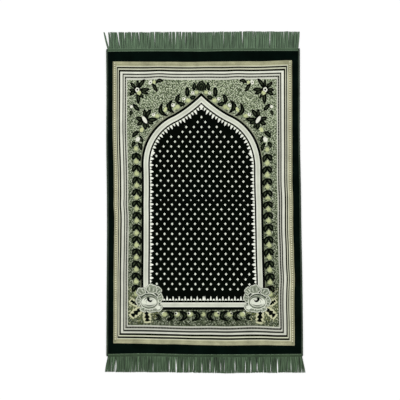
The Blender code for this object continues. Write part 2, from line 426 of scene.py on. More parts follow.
# The ornament over the niche's tip: its arches, and its ground's middle and half sizes.
ORNAMENT_ARCHES = (
    # reach, high, low, thick
    (18, 117, 150, 5),
    (11.5, 126, 151, 4.2),
    (5.5, 135.5, 152, 4),
)
ORNAMENT_GROUND = ((0.0, 138.0), (19.0, 15.0))
ORNAMENT_BLUNTNESS = 0.8

# Flecks of the speckled field, whose colours are painted darker towards the foot, to this share there:
# painted shade of the pile.
FIELD_PAINTED_SHADE_AT_FOOT = 0.42
FLECK_PITCH = 4.6
FLECK_LENGTH = (4.0, 10.0)
FLECK_WIDTH = (1.9, 3.0)
FLECK_BEND = (-2.6, 2.6)
FLECK_MARGIN = 2.0
# This share of the niche's glow has no flecks, and this share of the pale flecks is dark at the foot.
FLECKLESS_GLOW = 0.55
DARK_AT_FOOT = 0.3
# Olive and cream flecks lie round the rose, out to this reach, and most of them near it.
MOSS_PLACE = (222.0, 922.0)
MOSS_REACH = 80.0
MOSS_CROWDING = 0.3

# Whipped long edges: how far out each station of a turn lies, how high, and its share of the width.
WHIP_PROFILE = (
    (-5.6, 4.05, 0.6),
    (-2.8, 4.1, 1),
    (-0.2, 3.1, 1),
    (0.75, 1.7, 1),
    (0.2, 0.3, 0.8),
)
WHIP_PITCH = 2.6
WHIP_WIDTH = 2.9
WHIP_HEIGHT = 0.45
WHIP_LEAN = 2.4
# The turns keep so far from the cloth's ends, as those lie at this X.
WHIP_MARGIN = 4.0
WHIP_ENDS_X = 345.0

# Fringes: cords of yarns over a darker layer, whose darker colour is painted shade between the cords.
FRINGE_END = 616.0
CORDS = 80
YARNS_A_CORD = 6
CORD_SQUEEZE = 0.78
YARN_WIDTH = 1.9
YARN_HEIGHT = 1.2
# How high one yarn after another lies, in turn.
YARN_LAYERS = (1.0, 1.5, 1.1, 1.6)
YARN_STATIONS = (
    # share of the length, of the width, of the height, raised
    (0, 1, 1, 1.6),
    (0.25, 1, 1, 0.3),
    (0.5, 0.95, 0.95, 0.3),
    (0.75, 0.85, 0.85, 0.3),
    (1, 0.65, 0.6, 0.3),
)
UNDER_YARNS = 260
UNDER_WIDTH = 2.9
UNDER_LAYERS = (0.1, 0.5)
# How far clumps sway, by how much they and their yarns fall short, how far stray yarns' tips lie
# aside, and how many of the yarns stray.
CLUMP_SWAY = 0.9
SHORTENING = 1.6
STRAY = 2.0
STRAY_SHARE = 0.06
# How far each end's strands fall short across the cloth, in millimetres.
SHORT_COLUMNS = ("across_the_cloth", "top", "bottom")
SHORTS = (
    (0, 2.6, 3.6),
    (0.2, 2.6, 3.6),
    (0.4, 2, 1.8),
    (0.5, 2.2, 1.2),
    (0.6, 1, 0),
    (0.8, 0, 1.4),
    (1, 0.4, 2),
)
# The heading tapes: their ridge and outer lip, as how far out from the cloth's end and how high.
TAPE_RIDGE = ((-9.2, 2.2), (-9.2, 3.9), (-8.5, 4.5), (-6.9, 4.5), (-6.2, 3.7))
TAPE_LIP = ((1.5, 3.6), (2.4, 3.0), (3.0, 2.2), (3.0, 0.05))
# Between them lies the groove: how high its rims and its floor are, and how far in it slopes.
GROOVE_RIM = 3.6
GROOVE_FLOOR = 2.9
GROOVE_SLOPE = 0.5
TAPE_STRETCHES = 116
# A stitch's widths and heights at its start, middle and end.
STITCH_WIDTHS = (0.9, 1.5, 0.9)
STITCH_HEIGHTS = (0.25, 0.5, 0.25)

# What differs between the fringes and tapes of the two ends.
#   roots, tips: X of the first and last strands' ends
#   parts: where the tips part, as (share along the fringe, gap at the tips, lean)
#   small_parts: smaller partings between them, as (from which share on, least gap, greatest gap)
#   small_pitch: how far apart those lie, as a share of the fringe
#   opened: how far the gaps have opened at each station of a yarn
#   contrast: how much the light and dark strands differ
#   groove: where the dark groove in the tape starts and ends, out from the cloth's end
#   stitches: rows on the tape, as (how far out, height, pitch, length)
FRINGES = {
    "top": {
        "end": 1,
        "roots": (-349.0, 337.5),
        "tips": (-363.6, 342.8),
        "parts": (
            (0.004, 14, -8.5),
            (0.040, 1.6, -9),
            (0.113, 1.2, -5),
            (0.192, 1.6, -3),
            (0.223, 3, -2),
            (0.324, 3, -0.5),
            (0.356, 4.4, 0),
            (0.388, 3.2, 0),
            (0.441, 3, 0),
            (0.708, 3.6, 0),
            (0.735, 1.4, 0.5),
        ),
        "small_parts": ((0.0, 1.8, 4.8), (0.44, 0.2, 1.6)),
        "small_pitch": 0.026,
        "opened": (0.0, 0.35, 0.6, 0.8, 1.0),
        "contrast": 0.55,
        "groove": (-4.6, -2.2),
        "stitches": ((-7.7, 4.35, 2.6, 3.2), (0.8, 3.85, 3.0, 3.2)),
    },
    "bottom": {
        "end": -1,
        "roots": (-348.0, 350.8),
        "tips": (-358.6, 363.6),
        "parts": (
            (0.103, 1.4, -3),
            (0.232, 3, -0.8),
            (0.289, 2.8, 0),
            (0.387, 2, 0.6),
            (0.418, 2.8, -0.6),
            (0.552, 2, -0.6),
            (0.583, 2.8, 0.4),
            (0.655, 2, 0.6),
            (0.737, 3.8, 0.6),
            (0.876, 4, 0.6),
            (0.923, 2.6, 2.4),
        ),
        "small_parts": ((0.0, 0.8, 5.8),),
        "small_pitch": 0.036,
        "opened": (0.0, 0.45, 0.85, 1.0, 0.35),
        "contrast": 0.8,
        "groove": (-1.8, 0.8),
        "stitches": ((-7.7, 4.35, 2.6, 3.2), (2.6, 2.9, 3.0, 3.2)),
    },
}

# Colours as the photograph shows them, from 0 to 255.
COLOURS = {
    "ground": (5, 15, 11),
    "niche": (6, 10, 6),
    "beige": (180, 179, 145),
    "rib": (158, 158, 126),
    "bead": (228, 225, 194),
    "bead_bed": (134, 134, 106),
    "cream": (205, 207, 182),
    "ivory": (232, 234, 218),
    "pearl": (212, 214, 199),
    "brown": (26, 28, 19),
    "slate": (56, 58, 51),
    "field": (126, 138, 108),
    "fleck_dark": (29, 43, 25),
    "fleck_pale": (214, 222, 194),
    "moss": (98, 104, 56),
    "glow": (142, 147, 124),
    "band": (230, 233, 218),
    "thread": (205, 209, 192),
    "tooth_base": (150, 160, 130),
    "tooth": (240, 243, 230),
    "diamond": (222, 227, 212),
    "leaf": (8, 12, 8),
    "vein": (52, 61, 43),
    "lime": (198, 206, 154),
    "sage": (160, 170, 128),
    "halo": (214, 216, 176),
    "rose": (139, 147, 128),
    "rose_pale": (222, 226, 210),
    "rose_line": (62, 70, 56),
    "whip": (64, 75, 63),
    "tape_top": (79, 101, 77),
    "tape_bottom": (64, 82, 60),
    "ridge_top": (112, 132, 110),
    "ridge_bottom": (104, 124, 100),
    "yarns_top": (103, 127, 101),
    # Painted shade: the under layer's darker colour stands for the shade between the cords.
    "under_top": (62, 80, 60),
    "yarns_bottom": (83, 105, 79),
    # Painted shade: the under layer's darker colour stands for the shade between the cords.
    "under_bottom": (52, 68, 50),
}
# Layers that take their colour from another name, and layers of the darkest yarns.
BORROWED_COLOURS = {"ivory_bud": "ivory", "eye": "leaf"}
DARK_LAYERS = ("niche", "leaf", "eye", "brown")
# Layers that are more mottled, and layers painted darker or lighter towards the foot, to some share there:
# painted shading of the pile.
MOTTLES = {"beige": 0.2, "rib": 0.2, "slate": 0.15, "rose": 0.12, "band": 0.06, "thread": 0.08}
PAINTED_SHADE_AT_FOOT = {
    "fleck_dark": 0.36,
    "fleck_pale": 0.50,
    "glow": 0.5,
    "lime": 0.85,
    "sage": 0.7,
    "halo": 0.85,
    "moss": 0.8,
    "band": 0.9,
    "ivory": 0.8,
    "pearl": 0.9,
    "cream": 1.15,
}
# Y, in metres, of the foot and of the arch end of that painted shading.
PAINTED_SHADE_SPAN = (-0.44, 0.43)

# Textures: how large and how uneven tufts are, and how fine the noises are, in repeats a metre.
TUFT = 2.2
TUFT_UNEVENNESS = 0.55
FIBRE_SCALE = 900.0
CLOUD_SCALE = 22.0
FIELD_CLOUD_SCALE = 14.0
MAZE_SCALE = 150.0
STREAK_SCALE = 330.0
LOCK_SCALE = 90.0
TWIST_SCALE = 1300.0
# Streaks run along the yarns, and so does the noise: shares of its scale on X, Y and Z.
STREAK_SHARES = (1.0, 0.05, 0.3)
# Between these two lie most of a noise's values.
NOISE_SPAN = (0.3, 0.7)
# The labyrinth's dark and pale stops, as places along its ramp and shares of the field's colour.
MAZE_STOPS = ((0.40, 0.55), (0.62, 1.45))
PILE_SHINE = 0.05
DARK_SHINE = 0.012
THREAD_SHINE = 0.1

# The floor, in metres
FLOOR_COLOUR = 0.93
FLOOR_HALF = 4.0
FLOOR_Z = -0.0002

# Camera, in metres and its lens in millimetres
CAMERA_TARGET = (-0.0162, 0.0083)
CAMERA_VIEW = 1.44
CAMERA_LENS = 100.0
CAMERA_SENSOR = 36.0


def curve(rows, columns, name, at):
    """One column's values at some places, on the smooth curve through a table's rows.

    The table's first column says where each row stands.
    """
    stations, values = (np.array([row[spot] for row in rows], float) for spot in (0, columns.index(name)))
    slopes = np.gradient(values, stations)
    at = np.clip(at, stations[0], stations[-1])
    spot = np.clip(np.searchsorted(stations, at) - 1, 0, len(stations) - 2)
    width = stations[spot + 1] - stations[spot]
    share = (at - stations[spot]) / width
    rest = 1 - share
    return (values[spot] * (1 + 2 * share) * rest ** 2
            + values[spot + 1] * (1 + 2 * rest) * share ** 2
            + width * share * rest * (slopes[spot] * rest - slopes[spot + 1] * share))


def course(down, name):
    """One column of the pattern's course at some places down the chart."""
    return curve(COURSE, COURSE_COLUMNS, name, down)


def ease(value, start, end):
    """0 before start, 1 after end, and a smooth step between."""
    share = np.clip((value - start) / (end - start), 0, 1)
    return share * share * (3 - 2 * share)


def end_wave(across, depth, end):
    """How far the stripes near one end wave, for places so far in from that end."""
    outer, inner = (curve(WAVES, WAVE_COLUMNS, end + line, across) for line in ("_outer", "_inner"))
    spot = STRIPE_COLUMNS.index(end)
    outer_line, inner_line = STRIPES[0][spot], STRIPES[-1][spot]
    share = np.clip((depth - outer_line) / (inner_line - outer_line), 0, 1)
    fade = 1 - ease(depth, inner_line, inner_line + WAVE_REACH)
    return (outer + (inner - outer) * share) * fade


def crease_dip(x, y):
    """How far the fold's crease lies below the pile."""
    return CREASE_DEPTH * np.exp(-((y - CREASE_Y - CREASE_SLOPE * x) / CREASE_WIDTH) ** 2)


def place(across, down, lift):
    """Where points of the chart that are so far above the pile lie, in the frame's millimetres."""
    across, down, lift = (np.asarray(values, float) for values in (across, down, lift))
    inside = course(down, "centre") + across * (1 + course(down, "spread") / 1000)
    left = course(down, "left_line") + across - LEFT_LINE
    right = course(down, "right_line") + across - RIGHT_LINE
    side = ease(np.abs(across), FIELD_HALF - SIDE_BLEND, FIELD_HALF)
    x = inside * (1 - side) + np.where(across < 0, left, right) * side
    drop = down + course(down, "shift") + course(down, "tilt") / 1000 * across * (1 - side)
    drop += end_wave(across, down, "top") + end_wave(across, CLOTH_LENGTH - down, "bottom")
    y = ARCH_END_Y - drop
    return np.stack((x, y, PILE_TOP + lift - crease_dip(x, y)), axis=-1)


def linear(channel):
    """Light of a display value from 0 to 255."""
    share = channel / 255
    return share / 12.92 if share <= 0.04045 else ((share + 0.055) / 1.055) ** 2.4


def albedo(name):
    """The dye that looks like a named colour under the studio light."""
    return tuple(linear(channel) / LIGHT_LEVEL for channel in COLOURS[name])


# Materials ----------------------------------------------------------------------------------

class Finish:
    """A fabric material in the making: its nodes, their links and its main shader."""

    def __init__(self, name):
        self.material = bpy.data.materials.new(name)
        self.material.use_nodes = True
        self.tree = self.material.node_tree
        self.shader = self.tree.nodes["Principled BSDF"]

    def feed(self, node, inputs):
        """Link a node's inputs to the sockets given for them, and set the others' values."""
        for name, value in inputs.items():
            if isinstance(value, bpy.types.NodeSocket):
                self.tree.links.new(value, node.inputs[name])
            else:
                node.inputs[name].default_value = value

    def node(self, kind, inputs, **settings):
        """A new node with its inputs and settings."""
        node = self.tree.nodes.new("ShaderNode" + kind)
        for name, value in settings.items():
            setattr(node, name, value)
        self.feed(node, inputs)
        return node

    def spot(self):
        """Where a point lies on the rug, in metres."""
        return self.node("TexCoord", {}).outputs["Object"]

    def noise(self, spot, scale, detail, distortion=0.0):
        """Cloudy noise, so many repeats a metre."""
        inputs = {"Vector": spot, "Scale": scale, "Detail": detail, "Distortion": distortion}
        return self.node("TexNoise", inputs).outputs["Fac"]

    def tufts(self, spot, size):
        """How far a point lies from the middle of its tuft, for tufts of so many millimetres."""
        inputs = {"Vector": spot, "Scale": 1 / (size * MM), "Randomness": TUFT_UNEVENNESS}
        return self.node("TexVoronoi", inputs).outputs["Distance"]

    def spread(self, value, low, high, start=0.0, end=1.0):
        """A value from start to end, spread between low and high."""
        inputs = {"Value": value, "From Min": start, "From Max": end, "To Min": low, "To Max": high}
        return self.node("MapRange", inputs).outputs["Result"]

    def work(self, operation, one, other):
        """Two values put together by some arithmetic."""
        return self.node("Math", {0: one, 1: other}, operation=operation).outputs["Value"]

    def painted_shade_down(self, value, painted_shade_at_foot):
        """A shade with painted shading of the pile along the rug: whole at the arch end, and this share of
        it at the foot.
        """
        along = self.node("SeparateXYZ", {"Vector": self.spot()}).outputs["Y"]
        return self.work("MULTIPLY", value, self.spread(along, painted_shade_at_foot, 1.0, *PAINTED_SHADE_SPAN))

    def dye(self, colour, shade):
        """Colour the fabric, lighter or darker by a shade."""
        dyed = self.node("HueSaturation", {"Color": colour, "Value": shade})
        self.feed(self.shader, {"Base Color": dyed.outputs["Color"]})

    def bump(self, height, strength, depth, invert=False):
        """Fine relief, so many millimetres deep."""
        inputs = {"Height": height, "Strength": strength, "Distance": depth * MM}
        relief = self.node("Bump", inputs, invert=invert)
        self.feed(self.shader, {"Normal": relief.outputs["Normal"]})

    def surface(self, roughness, shine, sheen=0.0):
        """How the fabric takes the light."""
        inputs = {"Roughness": roughness, "Specular IOR Level": shine, "Sheen Weight": sheen}
        self.feed(self.shader, inputs)


def pile_material(name, colour, mottle=0.10, tuft=TUFT, relief=0.35, shine=PILE_SHINE, painted_shade_at_foot=1.0):
    """Woven pile: tufts in uneven rows, each painted darker towards its edge as shade between the tufts, a
    slow mottle, and painted shade towards the foot.
    """
    finish = Finish(name)
    spot = finish.spot()
    tufts = finish.tufts(spot, tuft)
    fibres = finish.noise(spot, FIBRE_SCALE, 2.0)
    clouds = finish.noise(spot, CLOUD_SCALE, 3.0)
    cloud_shade = finish.spread(clouds, 1 - 1.3 * mottle, 1 + 1.3 * mottle, *NOISE_SPAN)
    # Painted shade between tufts: each tuft's colour darkens from its middle to its edge.
    tuft_painted_shade = finish.spread(tufts, 1 + mottle, 1 - 2 * mottle)
    shade = finish.work("MULTIPLY", cloud_shade, tuft_painted_shade)
    # Painted shade along the rug: the colour darkens, or for some layers lightens, towards the foot.
    finish.dye((*colour, 1.0), finish.painted_shade_down(shade, painted_shade_at_foot))
    finish.bump(finish.work("SUBTRACT", fibres, tufts), 0.5, relief)
    finish.surface(finish.spread(fibres, 0.86, 1.0), shine)
    return finish.material


def field_material(name):
    """The sage field under its flecks: a fine labyrinth of a dark and a pale shade."""
    finish = Finish(name)
    spot = finish.spot()
    maze = finish.noise(spot, MAZE_SCALE, 1.5, distortion=1.4)
    ramp = finish.node("ValToRGB", {"Fac": maze})
    for stop, (position, share) in zip(ramp.color_ramp.elements, MAZE_STOPS):
        stop.position = position
        stop.color = (*(share * channel for channel in albedo("field")), 1.0)
    clouds = finish.noise(spot, FIELD_CLOUD_SCALE, 2.0)
    shade = finish.spread(clouds, 0.82, 1.18, *NOISE_SPAN)
    # Painted shade along the rug: the field darkens towards the foot.
    finish.dye(ramp.outputs["Color"], finish.painted_shade_down(shade, FIELD_PAINTED_SHADE_AT_FOOT))
    finish.bump(finish.tufts(spot, TUFT), 0.5, 0.3, invert=True)
    finish.surface(roughness=0.95, shine=PILE_SHINE)
    return finish.material


def yarn_material(name, colour, contrast):
    """Fringe yarn: long streaks of lighter and darker strands, twisted finely."""
    finish = Finish(name)
    spot = finish.spot()
    along = finish.node("Mapping", {"Vector": spot, "Scale": STREAK_SHARES}).outputs["Vector"]
    streaks = finish.noise(along, STREAK_SCALE, 3.0)
    locks = finish.noise(along, LOCK_SCALE, 2.0)
    streak_shade = finish.spread(streaks, 1 - contrast, 1 + contrast, *NOISE_SPAN)
    lock_shade = finish.spread(locks, 0.9, 1.1, *NOISE_SPAN)
    finish.dye((*colour, 1.0), finish.work("MULTIPLY", streak_shade, lock_shade))
    finish.bump(finish.noise(spot, TWIST_SCALE, 1.0), 0.6, 0.3)
    finish.surface(roughness=0.8, shine=0.15, sheen=0.1)
    return finish.material


# Pieces -------------------------------------------------------------------------------------


def add_piece(name, points, faces, material, closed=False):
    """A mesh piece through points in millimetres, with a map that looks straight down on it.

    Faces of flat pieces are turned up.  The undersides of closed ones lie beside their tops on the map.
    """
    points = np.asarray(points, float) * MM
    if not closed:
        turned = []
        for face in faces:
            corners = points[list(face)]
            ahead = np.roll(corners, -1, axis=0)
            area = np.sum(corners[:, 0] * ahead[:, 1] - corners[:, 1] * ahead[:, 0])
            turned.append(face if area > 0 else face[::-1])
        faces = turned
    mesh = bpy.data.meshes.new(name)
    mesh.from_pydata(points.tolist(), [], faces)
    mesh.materials.append(material)
    mesh.validate()
    low, high = points.min(axis=0), points.max(axis=0)
    uv_map = mesh.uv_layers.new(name="OFBake")
    for face in mesh.polygons:
        for corner in face.loop_indices:
            x, y, _ = mesh.vertices[mesh.loops[corner].vertex_index].co
            u, v = (x - low[0]) / (high[0] - low[0]), (y - low[1]) / (high[1] - low[1])
            if closed:
                u = 0.5 * u + 0.5 * (face.normal.z < 0)
            uv_map.data[corner].uv = (u, v)
    piece = bpy.data.objects.new(name, mesh)
    bpy.context.scene.collection.objects.link(piece)
    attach(piece, "root")
    return piece


class Layer:
    """Flat faces of one colour on the chart, which become one piece.

    Each shape lies a hair higher than the last, so that shapes that overlap never share a plane.
    """

    def __init__(self):
        self.spots = []
        self.faces = []
        self.shapes = 0

    def add(self, spots, faces, lift, side):
        """Faces over some (across, down) spots, mirrored where side is -1."""
        first = len(self.spots)
        lift += STACK_STEP * (self.shapes % STACK_TURNS)
        self.shapes += 1
        self.spots += [(side * across, down, lift) for across, down in spots]
        self.faces += [tuple(first + corner for corner in face) for face in faces]

    def outline(self, spots, lift, side=1):
        """One face inside an outline."""
        self.add(spots, [range(len(spots))], lift, side)

    def band(self, one, other, lift, side=1, closed=False):
        """The band between two lines of as many spots."""
        count = len(one)
        ends = range(count if closed else count - 1)
        faces = [(i, (i + 1) % count, count + (i + 1) % count, count + i) for i in ends]
        self.add([*one, *other], faces, lift, side)

    def piece(self, name, material):
        """The layer as a piece in its place, without corners that fall together."""
        faces = []
        for face in self.faces:
            kept = []
            for corner in face:
                if not kept or self.spots[corner] != self.spots[kept[-1]]:
                    kept.append(corner)
            if self.spots[kept[0]] == self.spots[kept[-1]]:
                kept.pop()
            if len(kept) > 2:
                faces.append(tuple(kept))
        return add_piece(name, place(*np.array(self.spots).T), faces, material)


layers = {}


def layer(name):
    """The layer of that name, made when first asked for."""
    return layers.setdefault(name, Layer())


# Shapes on the chart ------------------------------------------------------------------------

def ways(start, end):
    """A line's start, its way to its end and the unit way aside."""
    start, end = np.array(start, float), np.array(end, float)
    along = end - start
    return start, along, np.array((along[1], -along[0])) / np.hypot(*along)


def leaf_edges(start, end, width, bend, steps=9, span=(0.0, 1.0), thinning=0.72):
    """The two edges of a pointed leaf along a bent line, or along this span of the line."""
    start, along, aside = ways(start, end)
    one, other = [], []
    for step in range(steps + 1):
        share = span[0] + (span[1] - span[0]) * step / steps
        middle = start + along * share + aside * bend * math.sin(math.pi * share)
        half = width / 2 * max(math.sin(math.pi * step / steps), 0.0) ** thinning
        one.append(tuple(middle + aside * half))
        other.append(tuple(middle - aside * half))
    return one, other


def draw_leaf(start, end, width, bend, side):
    """A pointed leaf with a paler slit along it."""
    thinning, slit = LEAF_KINDS["crescent" if abs(bend) > CRESCENT_BEND * width else "leaf"]
    layer("leaf").band(*leaf_edges(start, end, width, bend, 14, thinning=thinning), LIFT["petal"], side)
    layer("vein").band(*leaf_edges(start, end, width * slit, bend, span=SLIT_SPAN), LIFT["vein"], side)


def round_outline(middle, half_width, half_height, steps=20, ruffles=0, depth=0.0, turn=0.0):
    """A round or ruffled outline."""
    spots = []
    turned = math.radians(turn)
    for step in range(steps):
        angle = 2 * math.pi * step / steps
        reach = 1 + depth * math.cos(ruffles * angle)
        across, down = half_width * reach * math.cos(angle), half_height * reach * math.sin(angle)
        spots.append((middle[0] + across * math.cos(turned) - down * math.sin(turned),
                      middle[1] + across * math.sin(turned) + down * math.cos(turned)))
    return spots


def draw_round(name, middle, size, lift, side=1, **shape):
    """A round or ruffled shape of half this width and height, on the layer of that name."""
    layer(name).outline(round_outline(middle, *size, **shape), lift, side)


def draw_bud(middle, width, height, yarn, side, eye=None):
    """A bud, with a dark eye if it has one.  A big lime one has a ruffled sage rim."""
    across, down = middle
    if yarn == "lime" and width > BIG_BUD:
        draw_round("sage", middle, (width / 2, height / 2), LIFT["bud"], side,
                   ruffles=5, depth=0.10, turn=20.0)
        width, height = width * BIG_BUD_HEART, height * BIG_BUD_HEART
        down -= BIG_BUD_RISE
    draw_round(yarn, (across, down), (width / 2, height / 2), LIFT["bud"] + 0.03, side,
               ruffles=5, depth=0.07, turn=-25.0)
    if eye is not None:
        draw_round("eye", eye, BUD_EYE, LIFT["eye"], side, steps=8)


def draw_flower(across, down, petals, heart, side):
    """A flower: dark petals round a pale kernel, or round a heart with a dark eye and a lime drop."""
    middle = np.array((across, down))
    draw_round("leaf", (across, down), FLOWER_DISC, LIFT["petal"], side, ruffles=6, depth=0.15)
    for angle, length, width, bend in petals:
        turn = math.radians(angle)
        ahead = np.array((math.sin(turn), -math.cos(turn)))
        draw_leaf(middle + ahead * PETAL_START, middle + ahead * length, width, bend, side)
    if heart == "kernel":
        start, end, width, bend = KERNEL
        edges = leaf_edges(middle + start, middle + end, width, bend, thinning=0.5)
        layer("ivory_bud").band(*edges, LIFT["bud"], side)
        return
    reach, angle, size = DROP
    turn = math.radians(angle)
    drop = (across + reach * math.sin(turn), down - reach * math.cos(turn))
    draw_round("lime", drop, (size, size), LIFT["bud"], side, ruffles=3, depth=0.12)
    draw_round("ivory_bud", (across, down), FLOWER_HEART, LIFT["bud"], side, ruffles=5, depth=0.08)
    draw_round("eye", (across, down - 0.5), FLOWER_EYE, LIFT["eye"], side, steps=10)


def serrated_outline(start, end, width, teeth=3, notch=0.38):
    """A leaf with saw-like edges, whose notches leave this share of its width."""
    start, along, aside = ways(start, end)
    right, left = [], []
    for tooth in range(teeth):
        foot, peak = (tooth + 0.15) / teeth, (tooth + 0.85) / teeth
        full = math.sin(math.pi * (0.25 + 0.55 * tooth / teeth))
        for share, reach in ((foot, notch), (peak, 1.0)):
            half = width / 2 * reach * full
            right.append(tuple(start + along * share + aside * half))
            left.append(tuple(start + along * share - aside * half))
    return [tuple(start), *right, tuple(end), *reversed(left)]


def arc_edges(middle, half_width, half_height, start, end, thickness, steps=14):
    """The two edges of a crescent along an ellipse, between two angles in degrees."""
    outer, inner = [], []
    for share in np.linspace(0, 1, steps + 1):
        angle = math.radians(start + (end - start) * share)
        full = thickness * math.sin(math.pi * share) ** 0.6 if 0 < share < 1 else 0.0
        outer.append((middle[0] + half_width * math.cos(angle), middle[1] + half_height * math.sin(angle)))
        inner.append((middle[0] + (half_width - full) * math.cos(angle),
                      middle[1] + (half_height - full) * math.sin(angle)))
    return outer, inner


# The frame ----------------------------------------------------------------------------------

def frame_line(left, right, top, bottom):
    """A closed line of the framing stripes, with points every few millimetres."""
    bottom = CLOTH_LENGTH - bottom
    wide, long = FRAME_STEPS
    line = [(across, top) for across in np.linspace(left, right, wide, endpoint=False)]
    line += [(right, down) for down in np.linspace(top, bottom, long, endpoint=False)]
    line += [(across, bottom) for across in np.linspace(right, left, wide, endpoint=False)]
    line += [(left, down) for down in np.linspace(bottom, top, long, endpoint=False)]
    return line


def draw_dashes():
    """The innermost stripe's dashed line."""
    (left, right, top, bottom), (left_in, right_in, top_in, bottom_in) = DASHED_LINES
    bottom, bottom_in = CLOTH_LENGTH - bottom, CLOTH_LENGTH - bottom_in
    for near, far, runs_down in ((left, left_in, True), (right_in, right, True),
                                 (top, top_in, False), (bottom_in, bottom, False)):
        start, end = (top, bottom) if runs_down else (left, right)
        for dash in range(int((end - start) / DASH_PITCH)):
            one = start + dash * DASH_PITCH
            other = one + DASH_PITCH * DASH_SHARE
            spots = [(near, one), (far, one), (far, other), (near, other)]
            layer("brown").outline(spots if runs_down else [spot[::-1] for spot in spots], LIFT["bead"])


def draw_beads():
    """The ribs along the beige ends, and the beads on their darker beds along the beige sides."""
    left, right, top, bottom, _ = STRIPES[0]
    bed_lift = LIFT["bead"] - 0.04
    for rib in RIBS:
        for end in (1, -1):
            downs = [top + depth if end > 0 else CLOTH_LENGTH - bottom - depth for depth in rib]
            acrosses = np.linspace(left + rib[0], right - rib[0], RIB_POINTS)
            layer("rib").band(*([(across, down) for across in acrosses] for down in downs), bed_lift)

    first, last = top + BEAD_MARGIN, CLOTH_LENGTH - bottom - BEAD_MARGIN
    downs = np.linspace(first - 3, last + 3, BED_POINTS)
    for across in BEAD_ACROSS:
        outwards = math.copysign(1.0, across)
        bed = sorted((across + outwards * BEAD_BED[0], across - outwards * BEAD_BED[1]))
        layer("bead_bed").band(*([(edge, down) for down in downs] for edge in bed), bed_lift)
        for bead in range(int((last - first) / BEAD_PITCH)):
            draw_round("bead", (across, first + bead * BEAD_PITCH), BEAD_SIZE, LIFT["bead"], steps=8)


def draw_stripes():
    """The framing stripes with their dashes, ribs and beads."""
    for outer, inner in zip(STRIPES, STRIPES[1:]):
        layer(outer[-1]).band(frame_line(*outer[:4]), frame_line(*inner[:4]), LIFT["stripe"], closed=True)
    draw_dashes()
    draw_beads()


# The niche ----------------------------------------------------------------------------------

def bezier(curve_points, samples):
    """Points along a cubic curve, without its last."""
    a, b, c, d = (np.array(point, float) for point in curve_points)
    shares = np.linspace(0, 1, samples, endpoint=False)[:, None]
    rest = 1 - shares
    return a * rest ** 3 + 3 * b * rest ** 2 * shares + 3 * c * rest * shares ** 2 + d * shares ** 3


def arch_line():
    """The right half of the niche's outline down to its foot, and the way in at each point."""
    arch = np.vstack([bezier(part, ARCH_SAMPLES) for part in ARCH_CURVES])
    across, down = ARCH_CURVES[-1][-1]
    downs = np.linspace(down, NICHE_FOOT, int((NICHE_FOOT - down) / GRID_STEP) + 1)
    line = np.vstack([arch, np.stack((np.full(len(downs), across), downs), axis=1)])
    ahead = np.gradient(line, axis=0)
    ahead /= np.hypot(ahead[:, 0], ahead[:, 1])[:, None]
    inwards = np.stack((-ahead[:, 1], ahead[:, 0]), axis=1)
    inwards[len(arch):] = (-1.0, 0.0)
    return line, inwards


ARCH_LINE, ARCH_INWARDS = arch_line()


def niche_half(inset, foot_inset):
    """The right half of a line inside the niche's outline, from its tip to the foot's corner."""
    line = ARCH_LINE + ARCH_INWARDS * np.reshape(inset, (-1, 1))
    foot = NICHE_FOOT - foot_inset
    line[:, 1] = np.minimum(line[:, 1], foot)
    line[-1, 1] = foot
    crossed = int(np.sum(line[:, 0] < 0))
    if crossed:
        before, after = line[crossed - 1], line[crossed]
        share = before[0] / (before[0] - after[0])
        line[:crossed] = (0.0, before[1] + (after[1] - before[1]) * share)
    return [tuple(spot) for spot in line]


def niche_foot(inset, foot_inset):
    """The foot of such a line, from the corner to the centre line."""
    corner = ARCH_LINE[-1][0] - inset
    return [(across, NICHE_FOOT - foot_inset) for across in np.linspace(corner, 0, FOOT_POINTS)]


def niche_band(name, outer, inner, lift):
    """The band between two lines of the niche, all the way round."""
    for side in (1, -1):
        for half in (niche_half, niche_foot):
            layer(name).band(half(*NICHE_LINES[outer]), half(*NICHE_LINES[inner]), lift, side)


def draw_tooth(foot, ahead, height, width, side):
    """One pale tooth that grows from its foot."""
    foot, ahead = np.array(foot), np.array(ahead)
    aside = np.array((ahead[1], -ahead[0]))
    right = [tuple(foot + ahead * height * up + aside * width * half) for up, half in TOOTH_SHAPE]
    left = [tuple(foot + ahead * height * up - aside * width * half)
            for up, half in reversed(TOOTH_SHAPE[:-1])]
    layer("tooth").outline(right + left, LIFT["thread"], side)


def draw_teeth():
    """Teeth all round the inside of the niche, tall and short in turn."""
    line = np.array(niche_half(*NICHE_LINES["teeth_foot"]))
    reach = np.concatenate(([0], np.cumsum(np.hypot(*np.diff(line, axis=0).T))))
    shoulder = reach[np.argmax(line[:, 1] >= ARCH_CURVES[-1][-1][1] - SHOULDER_MARGIN)]

    def at(distance):
        """The spot so far along the line, and the way in there."""
        return [tuple(np.interp(distance, reach, values[:, axis]) for axis in (0, 1))
                for values in (line, ARCH_INWARDS)]

    for side in (1, -1):
        pitch, *sizes = ARCH_TEETH
        count = int((shoulder - TEETH_START) / pitch)
        for number in range(count):
            spot, way = at(TEETH_START + number * pitch)
            share = number / count
            drop = ARCH_TEETH_DROP * (1 - share)
            slope = math.hypot(way[0], way[1] + drop)
            height, width = sizes[number % 2]
            height *= 1 - (1 - ARCH_TEETH_SHRUNK) * share ** 2
            draw_tooth(spot, (way[0] / slope, (way[1] + drop) / slope), height, width, side)
        pitch, *sizes = SIDE_TEETH
        start = TEETH_START + count * pitch
        for number in range(int((reach[-1] - start) / pitch)):
            draw_tooth(*at(start + number * pitch), *sizes[number % 2], side)
        pitch, *sizes = FOOT_TEETH
        foot = NICHE_FOOT - NICHE_LINES["teeth_foot"][1]
        for number in range(FOOT_TEETH_COUNT):
            across = (number + 0.5 * (side > 0)) * pitch
            draw_tooth((across, foot), (0.0, -1.0), *sizes[number % 2], side)
    draw_tooth(line[0], (0.0, 1.0), *TIP_TOOTH, 1)


